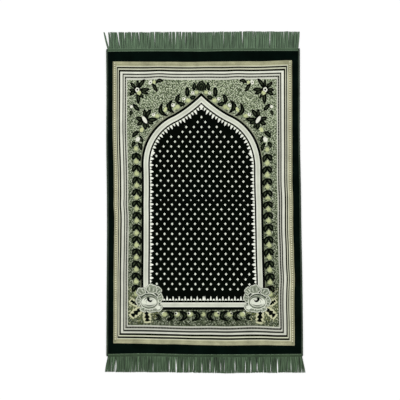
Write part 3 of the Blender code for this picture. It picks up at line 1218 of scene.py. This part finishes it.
def draw_diamonds():
    """Staggered rows of small diamonds, as far as the niche has room for them."""
    inner = np.array(niche_half(*NICHE_LINES["teeth_foot"]))
    for row in range(DIAMOND_ROWS):
        down = FIRST_DIAMOND_ROW + DIAMOND_ROW_PITCH * row
        squeeze = 1 - CREASE_SQUEEZE * math.exp(-((down - CREASE_DOWN) / CREASE_SQUEEZE_REACH) ** 2)
        wide, high = DIAMOND_SIZE[0] / 2 * squeeze, DIAMOND_SIZE[1] / 2 * squeeze
        for number in DIAMOND_NUMBERS:
            across = (number + 0.5 * (row % 2)) * DIAMOND_PITCH
            room = np.min(np.hypot(inner[:, 0] - abs(across), inner[:, 1] - down))
            inside = abs(across) < np.interp(down, inner[:, 1], inner[:, 0])
            if inside and room >= DIAMOND_ROOMS[down > DIAMOND_ARCH_FOOT]:
                spots = [(across + wide * right, down + high * low) for right, low in DIAMOND_SHAPE]
                layer("diamond").outline(spots, LIFT["thread"])


def glow_reach(down):
    """How far the niche's glow reaches outwards."""
    return curve(GLOW, GLOW_COLUMNS, "reach", down)


def draw_niche():
    """The niche's dark ground, its pale band with a greyer middle, its teeth, diamonds and glow."""
    outline = niche_half(*NICHE_LINES["outline"])
    shares = np.linspace(-1, 1, 25)
    for ends in zip(outline, outline[1:]):
        rows = ([(across * share, down) for share in shares] for across, down in ends)
        layer("niche").band(*rows, LIFT["niche"])
    niche_band("band", "band_outer", "band_inner", LIFT["band"])
    niche_band("thread", "thread_outer", "thread_inner", LIFT["thread"])
    niche_band("tooth_base", "teeth_foot", "teeth_base", LIFT["band"])
    draw_teeth()
    draw_diamonds()
    glow = niche_half(-glow_reach(ARCH_LINE[:, 1]), 0.0)
    glow[0] = (0.0, ARCH_LINE[0, 1] - TIP_GLOW)
    foot_glow = niche_foot(-FOOT_GLOW, -FOOT_GLOW)
    for glowing, edge in ((glow, outline), (foot_glow, niche_foot(0, 0))):
        for side in (1, -1):
            layer("glow").band(glowing, edge, LIFT["glow"], side)


# The field and its motifs -------------------------------------------------------------------

def draw_field(dice):
    """The speckled field and its flecks."""
    left, right, top, bottom, _ = STRIPES[-1]
    bottom = CLOTH_LENGTH - bottom
    rows = np.linspace(top, bottom, int((bottom - top) / GRID_STEP))
    acrosses = np.linspace(left, right, CLOTH_COLUMNS)
    for downs in zip(rows, rows[1:]):
        layer("field").band(*([(across, down) for across in acrosses] for down in downs), LIFT["field"])
    line = np.array(niche_half(*NICHE_LINES["outline"]))
    corners = np.array(((left, top), (right, bottom)))
    for down_step in range(int((bottom - top) / FLECK_PITCH)):
        for across_step in range(int((right - left) / FLECK_PITCH)):
            across = left + (across_step + dice.random()) * FLECK_PITCH
            down = top + (down_step + dice.random()) * FLECK_PITCH
            in_niche_rows = line[0, 1] < down < NICHE_FOOT
            half_width = np.interp(down, line[:, 1], line[:, 0]) if in_niche_rows else 0
            if abs(across) < half_width + FLECKLESS_GLOW * glow_reach(down) + FLECK_MARGIN:
                continue
            length = dice.uniform(*FLECK_LENGTH)
            width = dice.uniform(*FLECK_WIDTH)
            angle = dice.uniform(0, math.pi)
            reach = np.array((math.cos(angle), math.sin(angle))) * length / 2
            middle = np.clip((across, down), corners[0] + FLECK_MARGIN, corners[1] - FLECK_MARGIN)
            start, end = (np.clip(tip, *corners) for tip in (middle - reach, middle + reach))
            edges = leaf_edges(start, end, width, dice.uniform(*FLECK_BEND), steps=5)
            pale = (across_step + down_step) % 2 and dice.random() > DARK_AT_FOOT * down / CLOTH_LENGTH
            moss_reach = MOSS_REACH * dice.random() ** MOSS_CROWDING
            mossy = math.hypot(abs(across) - MOSS_PLACE[0], down - MOSS_PLACE[1]) < moss_reach
            names = ("halo", "moss") if mossy else ("fleck_pale", "fleck_dark")
            layer(names[0] if pale else names[1]).band(*edges, LIFT["fleck"])


def draw_ornament():
    """Nested arches over the niche's tip."""
    for reach, high, low, thick in ORNAMENT_ARCHES:
        outer, inner = [], []
        for angle in np.linspace(0, math.pi, 15):
            across, up = math.cos(angle), math.sin(angle) ** ORNAMENT_BLUNTNESS
            outer.append((reach * across, low - (low - high) * up))
            inner.append(((reach - thick) * across, low - (low - high - thick) * up))
        layer("leaf").band(outer, inner, LIFT["petal"])
    draw_round("vein", *ORNAMENT_GROUND, LIFT["halo"])


def draw_garlands():
    """Leaf pairs and buds down both sides, and crescents and buds along the foot."""
    for side in (1, -1):
        for pair in range(GARLAND_PAIRS):
            root = np.array((GARLAND_ACROSS, GARLAND_FIRST + GARLAND_PITCH * pair))
            for start, end, width, bend in GARLAND_LEAVES:
                draw_leaf(root + start, root + end, width, bend, side)
            for spot, width, height, eye in GARLAND_BUDS:
                eye = root + eye if eye and pair in GARLAND_EYED else None
                draw_bud(root + spot, width, height, "lime", side, eye)
        for across, down, size in FOOT_CRESCENTS:
            middle = (across + CRESCENT_MIDDLE * size, down)
            for yarn, lift, reach, thickness, start, end in CRESCENT_ARCS:
                sizes = [(half - reach) * size for half in CRESCENT_SIZE]
                layer(yarn).band(*arc_edges(middle, *sizes, start, end, thickness * size), LIFT[lift], side)
        for across in FOOT_BUDS:
            root = np.array((across, FOOT_BUDS_DOWN))
            for yarn, spot, width, height in FOOT_BUD_BODIES:
                draw_bud(root + spot, width, height, yarn, side)
            if across < FOOT_BUDS[0]:
                draw_round("eye", root + FOOT_EYE_SPOT, FOOT_EYE, LIFT["eye"], side, steps=8)
    draw_bud((0.0, FOOT_BUDS_DOWN), *MIDDLE_BUD, "lime", 1, MIDDLE_BUD_EYE)


def draw_rose(side):
    """A full-blown rose over the niche's lower corner."""
    lift = LIFT["rose"]

    def at(across, down):
        """A spot charted from the rose's middle."""
        return ROSE_PLACE[0] + across, ROSE_PLACE[1] + down

    spot, size = ROSE_BACK
    draw_round("rose_line", at(*spot), size, lift - 0.03, side, steps=30)
    for across, down, half_width, half_height, ruffles, turn in RUFFLES:
        shape = dict(steps=34, ruffles=ruffles, turn=turn)
        for yarn, grown, raised, depth in RUFFLE_LAYERS:
            size = (half_width + grown, half_height + grown)
            draw_round(yarn, at(across, down), size, lift + raised, side, depth=depth, **shape)
        outwards = np.array((across, down)) / math.hypot(across, down)
        aside = np.array((-outwards[1], outwards[0]))
        reach = min(half_width, half_height)
        for number, stroke in enumerate(ROSE_STROKES):
            start = np.array(at(across, down)) + aside * stroke * reach - outwards * reach * 0.55
            end = start + (outwards + aside * stroke * 0.3) * reach * (1.15 - 0.3 * abs(stroke))
            yarn = "rose_pale" if number % 2 else "rose_line"
            layer(yarn).band(*leaf_edges(start, end, STROKE_WIDTH, 0.0, steps=4), lift + 0.05, side)
        lift += RUFFLE_RISE
    for yarn, spot, size, raised, shape in ROSE_BOWL:
        draw_round(yarn, at(*spot), size, lift + raised, side, **shape)
    for across, down, half_width, half_height, start, end, thickness, yarn in ROSE_ARCS:
        edges = arc_edges(at(across, down), half_width, half_height, start, end, thickness)
        layer(yarn).band(*edges, lift + 0.08, side)
    layer("eye").outline([at(*spot) for spot in ROSE_HEART], lift + 0.10, side)


def draw_serrated_leaves(side):
    """Dark saw-edged leaves on pale halos, round the rose."""
    for from_across, from_down, to_across, to_down, width in SERRATED_LEAVES:
        start, end = np.array((from_across, from_down)), np.array((to_across, to_down))
        reach = (end - start) * HALO_REACH
        rim = serrated_outline(start - reach, end + reach, width + HALO_WIDTH, teeth=5, notch=0.8)
        layer("halo").outline(rim, LIFT["halo"], side)
        layer("leaf").outline(serrated_outline(start, end, width), LIFT["petal"], side)


def draw_motifs():
    """Leaves, buds, flowers, garlands, roses and the ornament."""
    for side in (1, -1):
        for from_across, from_down, to_across, to_down, width, bend in LEAVES:
            draw_leaf((from_across, from_down), (to_across, to_down), width, bend, side)
        for flower in FLOWERS:
            draw_flower(*flower, side)
        for across, down, width, height, yarn, eye_across, eye_down in BUDS:
            eye = None if eye_across is None else (across + eye_across, down + eye_down)
            draw_bud((across, down), width, height, "ivory_bud" if yarn == "ivory" else yarn, side, eye)
        draw_rose(side)
        draw_serrated_leaves(side)
    draw_ornament()
    draw_garlands()


# The cloth itself ---------------------------------------------------------------------------

def cloth_outline():
    """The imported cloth's floor outline in millimetres: its ends and its sides, sorted along each."""
    points = np.array([tuple(vertex.co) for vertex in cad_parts["rug"].data.vertices]) / MM
    floor = np.unique(np.round(points[points[:, 2] < 0.01, :2], 3), axis=0)
    ends, sides = {}, {}
    for end in (1, -1):
        line = floor[end * floor[:, 1] > NEAR_ENDS]
        ends[end] = line[np.argsort(line[:, 0])]
    for side in (1, -1):
        corners = [line[-1] if side > 0 else line[0] for line in ends.values()]
        along = floor[(side * floor[:, 0] > 0) & (np.abs(floor[:, 1]) < NEAR_ENDS - 2)]
        line = np.vstack([corners, along])
        sides[side] = line[np.argsort(line[:, 1])]
    return ends, sides


CLOTH_ENDS, CLOTH_SIDES = cloth_outline()


def end_y(end, x):
    """Y of the cloth's end at some X, end 1 for the arch end."""
    return np.interp(x, *CLOTH_ENDS[end].T)


def edge_x(side, y):
    """X of a long edge at some Y."""
    return np.interp(y, CLOTH_SIDES[side][:, 1], CLOTH_SIDES[side][:, 0])


def on_cloth(share_across, share_down):
    """The point that lies so far across and down the cloth."""
    rough_y = ARCH_END_Y - share_down * CLOTH_LENGTH
    rough_x = edge_x(-1, rough_y) * (1 - share_across) + edge_x(1, rough_y) * share_across
    y = end_y(1, rough_x) * (1 - share_down) + end_y(-1, rough_x) * share_down
    x = edge_x(-1, y) * (1 - share_across) + edge_x(1, y) * share_across
    return x, y


def make_cloth():
    """The pile cloth with its thin hems and rounded edges, and a soft trough at the crease."""
    hem = TAPE_LAP / CLOTH_LENGTH
    pile_rows = np.linspace(hem + HEM_STEP, 1 - hem - HEM_STEP, int(CLOTH_LENGTH / GRID_STEP))
    rows = [(0.0, HEM_TOP), (hem, HEM_TOP), *((share, PILE_TOP) for share in pile_rows)]
    rows += [(1 - hem, HEM_TOP), (1.0, HEM_TOP)]
    rim = EDGE_ROUND / CLOTH_WIDTH
    inner = np.linspace(rim, 1 - rim, CLOTH_COLUMNS)
    bend, bend_fall = EDGE_BEND
    columns = [0.0, rim * bend, *inner, 1 - rim * bend, 1.0]
    edge_fall = PILE_TOP - EDGE_TOP
    falls = [edge_fall, bend_fall, *[0.0] * len(inner), bend_fall, edge_fall]

    points, faces = [], []
    for share_down, thickness in rows:
        for share_across, fall in zip(columns, falls):
            x, y = on_cloth(share_across, share_down)
            dip = crease_dip(x, y) if thickness > HEM_TOP else 0.0
            points.append((x, y, max(thickness - fall - dip, THINNEST)))
    floor_start = len(points)
    points += [(x, y, 0.0) for x, y, _ in points]
    count, last = len(columns), len(rows) - 1
    for row in range(last):
        for spot in range(count - 1):
            a = row * count + spot
            faces.append((a, a + count, a + count + 1, a + 1))
            faces.append(tuple(floor_start + i for i in (a, a + 1, a + count + 1, a + count)))
        for spot, turn in ((0, 1), (count - 1, -1)):
            a = row * count + spot
            faces.append((a, floor_start + a, floor_start + a + count, a + count)[::turn])
    for row, turn in ((0, -1), (last, 1)):
        for spot in range(count - 1):
            a = row * count + spot
            faces.append((a, floor_start + a, floor_start + a + 1, a + 1)[::turn])
    finish = pile_material("pile_ground", albedo("ground"), mottle=0.22, shine=DARK_SHINE)
    return add_piece("rug_cloth", points, faces, finish, closed=True)


def tube(points, faces, path, widths, heights, across=None):
    """A low three-sided strand along a path whose points are its middle on what it lies on."""
    path = np.array(path, float)
    up = np.array((0.0, 0.0, 1.0))
    first = len(points)
    for middle, way, width, height in zip(path, np.gradient(path, axis=0), widths, heights):
        sideways = np.cross(way, up) if across is None else np.array(across, float)
        sideways /= np.linalg.norm(sideways)
        outwards = np.cross(sideways, way)
        outwards /= np.linalg.norm(outwards)
        if across is None and outwards[2] < 0:
            outwards = -outwards
        half = width / 2
        points += [middle + sideways * half, middle + outwards * height, middle - sideways * half]
    for a in range(first, len(points) - 3, 3):
        for one in range(3):
            other = (one + 1) % 3
            faces.append((a + one, a + other, a + 3 + other, a + 3 + one))
    last = len(points) - 3
    faces += [(first + 2, first + 1, first), (last, last + 1, last + 2)]


def make_whipping():
    """Yarn whipped over both long edges."""
    finish = pile_material("whipping", albedo("whip"), mottle=0.18, tuft=1.1, relief=0.2, shine=THREAD_SHINE)
    for side, name in ((-1, "whipping_left"), (1, "whipping_right")):
        points, faces = [], []
        top, bottom = (end_y(end, side * WHIP_ENDS_X) - end * WHIP_MARGIN for end in (1, -1))
        for turn in range(int((top - bottom) / WHIP_PITCH)):
            y = top - turn * WHIP_PITCH
            edge = edge_x(side, y)
            path = [(edge + side * out, y - WHIP_LEAN * step / 4, height)
                    for step, (out, height, _) in enumerate(WHIP_PROFILE)]
            widths = [WHIP_WIDTH * share for _, _, share in WHIP_PROFILE]
            first = len(points)
            tube(points, faces, path, widths, [WHIP_HEIGHT] * len(path), across=(0.0, 1.0, 0.0))
            if side < 0:
                for spot in range(first, len(points), 3):
                    points[spot + 1] = points[spot] + points[spot + 2] - points[spot + 1]
        add_piece(name, points, faces, finish, closed=True)


# Fringes and heading tapes ------------------------------------------------------------------

def tip_places(parts, roots, first_tip, last_tip, gap_share):
    """X of the tips for the given roots: drawn into clumps, with the tips parted between them."""
    span = roots[-1] - roots[0]
    breaks = [roots[0] + span * share for share, _, _ in parts]
    tips = []
    for root in roots:
        before = sum(root > edge for edge in breaks)
        lower, tip_lower = roots[0], first_tip
        upper, tip_upper = roots[-1], last_tip
        if before > 0:
            lower = breaks[before - 1]
            tip_lower = lower + parts[before - 1][2] + gap_share * parts[before - 1][1] / 2
        if before < len(breaks):
            upper = breaks[before]
            tip_upper = upper + parts[before][2] - gap_share * parts[before][1] / 2
        tips.append(tip_lower + (tip_upper - tip_lower) * (root - lower) / (upper - lower))
    return tips


def all_parts(fringe, dice):
    """A fringe's partings with smaller ones between them."""
    parts = fringe["parts"]
    every = [(0.0, 0.0, parts[0][2]), *parts, (1.0, 0.0, parts[-1][2])]
    filled = []
    for (share, gap, lean), (next_share, _, next_lean) in zip(every, every[1:]):
        if gap:
            filled.append((share, gap, lean))
        count = int((next_share - share) / fringe["small_pitch"])
        _, least, most = [row for row in fringe["small_parts"] if row[0] <= share][-1]
        for number in range(1, count + 1):
            along = (number + dice.uniform(-0.3, 0.3)) / (count + 1)
            small_gap = least + (most - least) * dice.random() ** 2
            small_lean = lean + (next_lean - lean) * along + dice.uniform(-1.0, 1.0)
            filled.append((share + (next_share - share) * along, small_gap, small_lean))
    return filled


def make_fringe(word, dice):
    """One fringe: cords of a few yarns over a darker layer, drawn into clumps at the tips; the layer's
    darker colour is painted shade between the cords.
    """
    fringe = FRINGES[word]
    end = fringe["end"]
    span = fringe["roots"][1] - fringe["roots"][0] - 2
    first = fringe["roots"][0] + 1
    tip_span = (fringe["tips"][0] + 1, fringe["tips"][1] - 1)
    parts = all_parts(fringe, dice)
    breaks = [first + span * share for share, _, _ in parts]
    sways = [dice.uniform(-CLUMP_SWAY, CLUMP_SWAY) for _ in range(len(parts) + 1)]
    shortenings = [dice.uniform(0.0, SHORTENING) for _ in range(len(parts) + 1)]

    under = np.linspace(0, 1, UNDER_YARNS)
    over = [(cord + 0.5 + CORD_SQUEEZE * ((yarn + 0.5) / YARNS_A_CORD - 0.5)) / CORDS
            for cord in range(CORDS) for yarn in range(YARNS_A_CORD)]
    # The under layer's darker colour is painted shade between the cords over it.
    for name, shares, width, rises in (("under", under, UNDER_WIDTH, UNDER_LAYERS),
                                       ("yarns", over, YARN_WIDTH, YARN_LAYERS)):
        points, faces = [], []
        roots = [first + span * share for share in shares]
        whole_tips, parted_tips = (tip_places(parts, roots, *tip_span, gaps) for gaps in (0.0, 1.0))
        widths = [width * full for _, full, _, _ in YARN_STATIONS]
        heights = [YARN_HEIGHT * full for _, _, full, _ in YARN_STATIONS]
        rows = zip(shares, roots, whole_tips, parted_tips)
        for number, (share_across, root, whole_tip, parted_tip) in enumerate(rows):
            clump = sum(root > edge for edge in breaks)
            rise = rises[number % len(rises)]
            short = curve(SHORTS, SHORT_COLUMNS, word, share_across) + shortenings[clump]
            short += SHORTENING * dice.random() ** 2
            start_y = end_y(end, root) + end * 1.5
            tip_y = end * (FRINGE_END - short)
            sway = sways[clump] + dice.uniform(-0.3, 0.3)
            stray = dice.uniform(-STRAY, STRAY) if dice.random() < STRAY_SHARE else dice.uniform(-0.3, 0.3)
            path = []
            for (share, _, _, raised), opened in zip(YARN_STATIONS, fringe["opened"]):
                x = root + (whole_tip - root) * share + (parted_tip - whole_tip) * opened
                x += stray * share + sway * math.sin(math.pi * share)
                y = start_y + (tip_y - start_y) * share
                path.append((x, y, 0.05 + (rise + raised) * (1 - 0.5 * share)))
            tube(points, faces, path, widths, heights)
        finish = yarn_material(name + "_" + word, albedo(name + "_" + word), fringe["contrast"])
        piece = add_piece("fringe_" + name + "_" + word, points, faces, finish, closed=True)
    return piece


def make_tape(word):
    """The heading tape over the cloth's end: a woven band with a cord-like ridge and stitches."""
    fringe = FRINGES[word]
    end = fringe["end"]
    first, last = fringe["roots"]
    near, far = fringe["groove"]
    groove = ((near, GROOVE_RIM), (near + GROOVE_SLOPE, GROOVE_FLOOR),
              (far - GROOVE_SLOPE, GROOVE_FLOOR), (far, GROOVE_RIM))
    profile = (*TAPE_RIDGE, *groove, *TAPE_LIP)
    places = np.arange(first, last + 0.1, (last - first) / TAPE_STRETCHES)
    points, faces = [], []
    for out, height in profile:
        points += [(x, end_y(end, x) + end * out, height) for x in places]
    count = len(places)
    for row in range(len(profile) - 1):
        for spot in range(count - 1):
            a = row * count + spot
            faces.append((a, a + 1, a + count + 1, a + count)[::end])
    for spot, turn in ((0, 1), (count - 1, -1)):
        faces.append(tuple(row * count + spot for row in range(len(profile)))[::turn * end])
    finish = pile_material("tape_" + word, albedo("tape_" + word), mottle=0.14, tuft=1.3, relief=0.25,
                           shine=THREAD_SHINE)
    add_piece("tape_" + word, points, faces, finish, closed=True)

    points, faces = [], []
    for offset, base, pitch, length in fringe["stitches"]:
        for stitch in range(int((last - first - 4) / pitch)):
            x = first + 2 + stitch * pitch
            y = end_y(end, x) + end * offset
            path = [(x, y - 0.6, base), (x + length / 2, y, base + 0.12), (x + length, y + 0.6, base)]
            tube(points, faces, path, STITCH_WIDTHS, STITCH_HEIGHTS)
    finish = yarn_material("stitches_" + word, albedo("ridge_" + word), fringe["contrast"])
    add_piece("stitches_" + word, points, faces, finish, closed=True)


# Stage --------------------------------------------------------------------------------------

def make_floor():
    """A plain pale floor."""
    mesh = bpy.data.meshes.new("floor")
    turns = ((-1, -1), (1, -1), (1, 1), (-1, 1))
    corners = [(FLOOR_HALF * x, FLOOR_HALF * y, FLOOR_Z) for x, y in turns]
    mesh.from_pydata(corners, [], [(0, 1, 2, 3)])
    finish = Finish("floor")
    finish.feed(finish.shader, {"Base Color": (FLOOR_COLOUR, FLOOR_COLOUR, FLOOR_COLOUR, 1.0)})
    finish.surface(roughness=1.0, shine=0.0)
    mesh.materials.append(finish.material)
    floor = bpy.data.objects.new("floor", mesh)
    bpy.context.scene.collection.objects.link(floor)


def make_light_and_camera():
    """Even studio light from above, and a long lens straight over the rug."""
    scene = bpy.context.scene
    world = bpy.data.worlds.new("studio")
    world.use_nodes = True
    sky = world.node_tree.nodes["Background"]
    sky.inputs["Color"].default_value = (1.0, 1.0, 1.0, 1.0)
    sky.inputs["Strength"].default_value = LIGHT_LEVEL * SKY_SHARE
    scene.world = world
    sun = bpy.data.lights.new("sun", "SUN")
    sun.angle = SUN_SIZE
    sun.energy = LIGHT_LEVEL * (1 - SKY_SHARE) * math.pi / (math.cos(SUN_TILT[0]) * math.cos(SUN_TILT[1]))
    lamp = bpy.data.objects.new("sun", sun)
    lamp.rotation_euler = SUN_TILT
    scene.collection.objects.link(lamp)
    lens = bpy.data.cameras.new("camera")
    lens.lens = CAMERA_LENS
    lens.sensor_width = CAMERA_SENSOR
    lens.clip_end = 50
    camera = bpy.data.objects.new("camera", lens)
    camera.location = (*CAMERA_TARGET, CAMERA_VIEW * CAMERA_LENS / CAMERA_SENSOR)
    scene.collection.objects.link(camera)
    scene.camera = camera
    scene.view_settings.view_transform = "Standard"


dice = random.Random(SEED)
draw_stripes()
draw_field(dice)
draw_niche()
draw_motifs()

cloth = make_cloth()
make_whipping()
for name, drawn in layers.items():
    if name == "field":
        drawn.piece("field", field_material("field"))
        continue
    dark = name in DARK_LAYERS
    # Each layer's colour takes painted shade towards the foot, by its share in the table.
    finish = pile_material("pile_" + name, albedo(BORROWED_COLOURS.get(name, name)),
                           mottle=MOTTLES.get(name, 0.15 if dark else 0.07),
                           shine=DARK_SHINE if dark else PILE_SHINE,
                           painted_shade_at_foot=PAINTED_SHADE_AT_FOOT.get(name, 1.0))
    drawn.piece("pattern_" + name, finish)
fringes = {word: make_fringe(word, dice) for word in FRINGES}
for word in FRINGES:
    make_tape(word)

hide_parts("rug")
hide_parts("fringe_top")
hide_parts("fringe_bottom")
make_floor()
make_light_and_camera()
